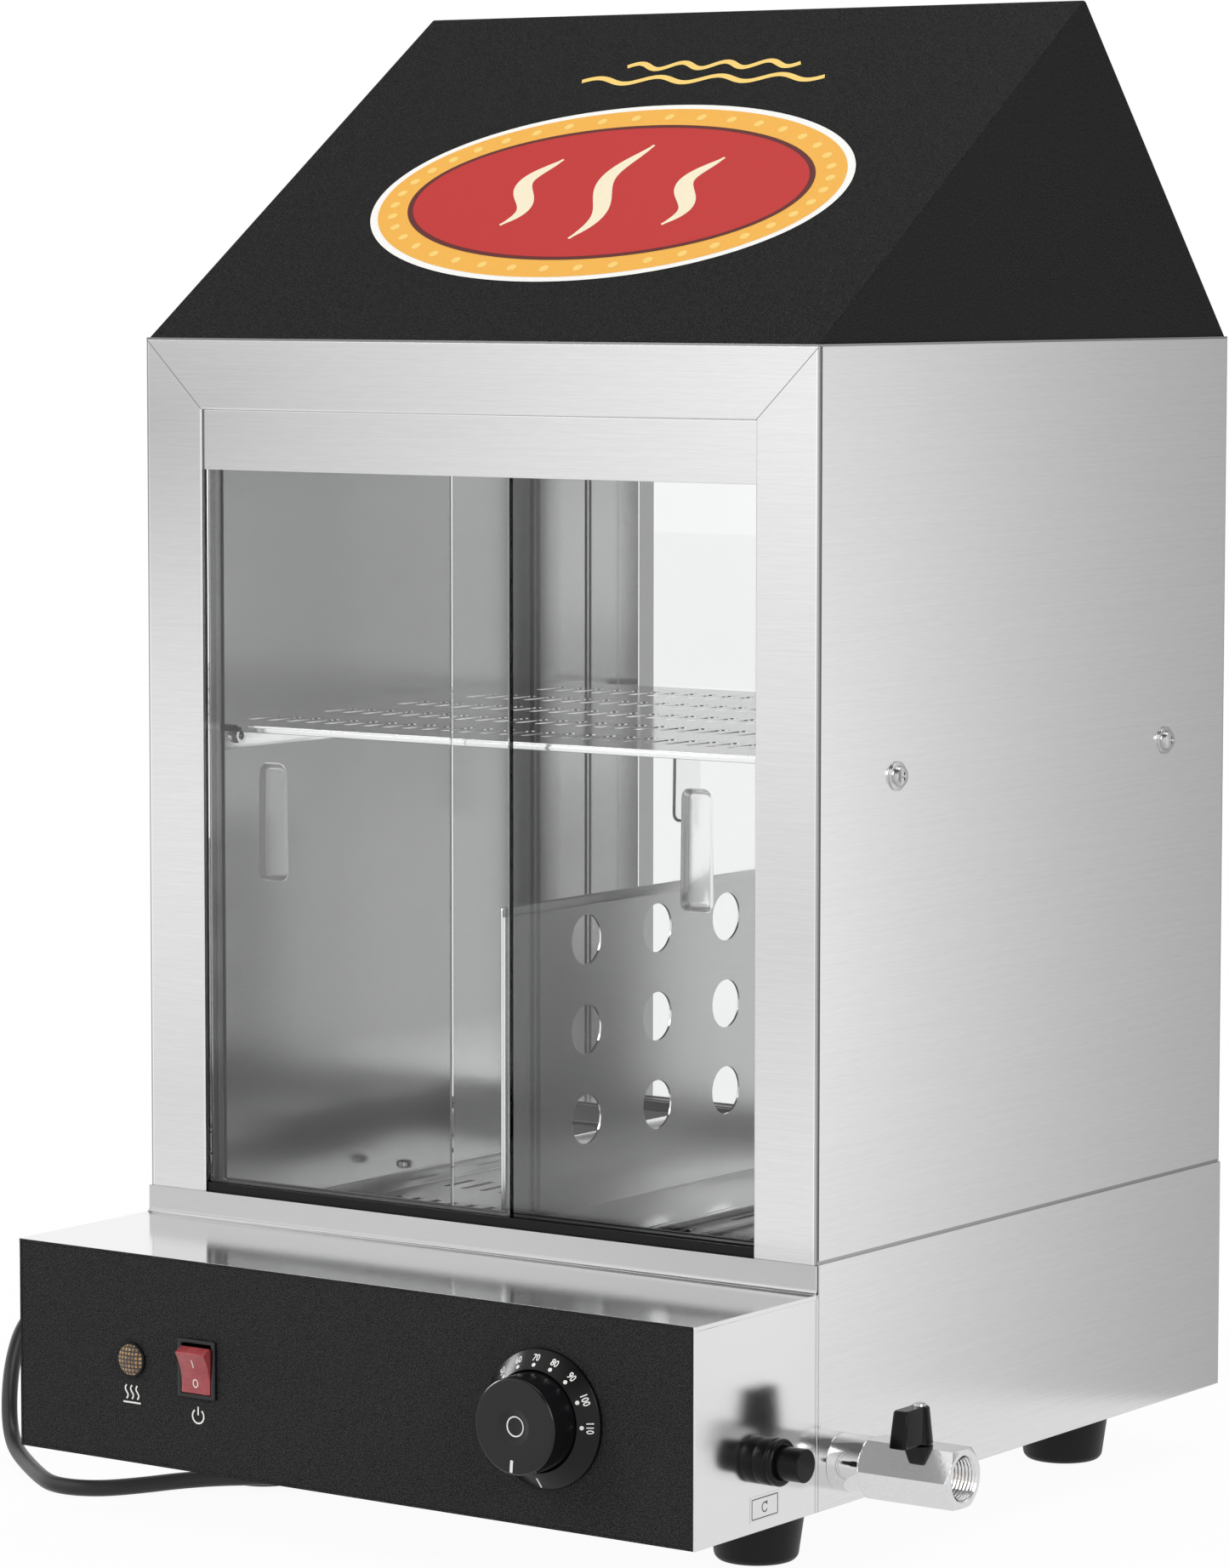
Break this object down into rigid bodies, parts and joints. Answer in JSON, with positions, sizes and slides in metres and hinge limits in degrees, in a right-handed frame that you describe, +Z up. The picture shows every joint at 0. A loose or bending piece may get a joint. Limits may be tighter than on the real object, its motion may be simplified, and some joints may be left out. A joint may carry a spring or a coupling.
{
  "type": "hot dog steamer",
  "caption": "Countertop steam cabinet with sliding panes, slotted shelf and tray, water tank, thermostat dial and drain valve.",
  "frame": {"origin": "bottom centre of the box round the steamer, on the surface it stands on, the mains cord left out", "axes": "+Z up, +X to the right along the front, +Y from the control panel to the back"},
  "size_m": [0.5713, 0.6347, 0.7025],
  "materials": {
    "brushed_steel": "fine brushed stainless sheet",
    "zinc_hardware": "bright plated steel",
    "canopy_paint": "satin black paint with a printed sign",
    "black_texture_paint": "fine black texture paint",
    "black_track": "satin extruded plastic",
    "clear_pane": "clear acrylic",
    "black_control": "satin black moulded plastic",
    "spindle_steel": "turned steel",
    "lamp_lens": "dark amber faceted lens",
    "red_rocker": "translucent red",
    "chrome": "polished chrome plate",
    "brass": "turned brass",
    "foot_rubber": "satin black rubber",
    "cord_black": "smooth black rubber",
    "pin_brass": "nickel-plated brass"
  },
  "bodies": {
    "cabinet": {"base_shell": "brushed_steel", "control_box_shell": "brushed_steel", "bottom_plate": "brushed_steel", "side_panel_left": "brushed_steel", "side_panel_right": "brushed_steel", "front_frame": "brushed_steel", "rear_frame": "brushed_steel", "front_fascia": "brushed_steel", "rear_fascia": "brushed_steel", "ceiling_plate": "brushed_steel", "deck": "brushed_steel", "water_tank": "brushed_steel", "steam_tray": "brushed_steel", "mid_shelf": "brushed_steel", "shelf_screws": "zinc_hardware", "shelf_nuts": "zinc_hardware", "deck_screws": "zinc_hardware", "element_nuts": "zinc_hardware", "foot_screws": "zinc_hardware", "heating_element": "zinc_hardware", "thermostat_bulb": "zinc_hardware", "canopy": "canopy_paint", "control_panel": "black_texture_paint", "front_bottom_track": "black_track", "front_top_track": "black_track", "rear_bottom_track": "black_track", "rear_top_track": "black_track", "thermostat_body": "black_control", "limiter_body": "black_control", "terminal_block": "black_control", "switch_bezel": "black_control", "dial_ring": "black_control", "reset_collar": "black_control", "pilot_lamp": "lamp_lens", "drain_nipple": "chrome", "valve_body": "chrome", "foot_front_left": "foot_rubber", "foot_front_right": "foot_rubber", "foot_rear_left": "foot_rubber", "foot_rear_right": "foot_rubber", "cord_gland": "cord_black", "mains_cord": "cord_black", "cord_coil": "cord_black", "mains_plug": "cord_black", "coil_tie": "cord_black", "plug_pins": "pin_brass"},
    "front_left_door": {"front_left_pane": "clear_pane"},
    "front_right_door": {"front_right_pane": "clear_pane"},
    "rear_left_door": {"rear_left_pane": "clear_pane"},
    "rear_right_door": {"rear_right_pane": "clear_pane"},
    "rocker": {"power_rocker": "red_rocker"},
    "knob": {"thermostat_knob": "black_control", "thermostat_spindle": "spindle_steel"},
    "reset": {"reset_button": "black_control"},
    "drain_handle": {"valve_lever": "black_control", "valve_stem": "spindle_steel", "valve_ball": "brass", "lever_screw": "zinc_hardware"},
    "divider_plate": {"divider": "brushed_steel"}
  },
  "joints": [
    {"name": "front_left_door_slide", "type": "slide", "parent": "cabinet", "child": "front_left_door", "axis": [1, 0, 0], "range_m": [0, 0.136]},
    {"name": "front_right_door_slide", "type": "slide", "parent": "cabinet", "child": "front_right_door", "axis": [-1, 0, 0], "range_m": [0, 0.136]},
    {"name": "rear_left_door_slide", "type": "slide", "parent": "cabinet", "child": "rear_left_door", "axis": [1, 0, 0], "range_m": [0, 0.126]},
    {"name": "rear_right_door_slide", "type": "slide", "parent": "cabinet", "child": "rear_right_door", "axis": [-1, 0, 0], "range_m": [0, 0.126]},
    {"name": "rocker_tilt", "type": "hinge", "parent": "cabinet", "child": "rocker", "pos_m": [-0.1144, -0.21375, 0.0796], "axis": [-1, 0, 0], "range_deg": [0, 28]},
    {"name": "knob_turn", "type": "hinge", "parent": "cabinet", "child": "knob", "pos_m": [0.0811, -0.23925, 0.0801], "axis": [0, 1, 0], "range_deg": [0, 274]},
    {"name": "reset_push", "type": "slide", "parent": "cabinet", "child": "reset", "axis": [-1, 0, 0], "range_m": [0, 0.0025], "stiffness_N_per_m": 400},
    {"name": "drain_lever_turn", "type": "hinge", "parent": "cabinet", "child": "drain_handle", "pos_m": [0.2011, -0.10115, 0.0645], "axis": [0, 0, 1], "range_deg": [0, 90]},
    {"name": "divider_shift", "type": "slide", "parent": "cabinet", "child": "divider_plate", "axis": [1, 0, 0], "range_m": [-0.106, 0.041]}
  ]
}
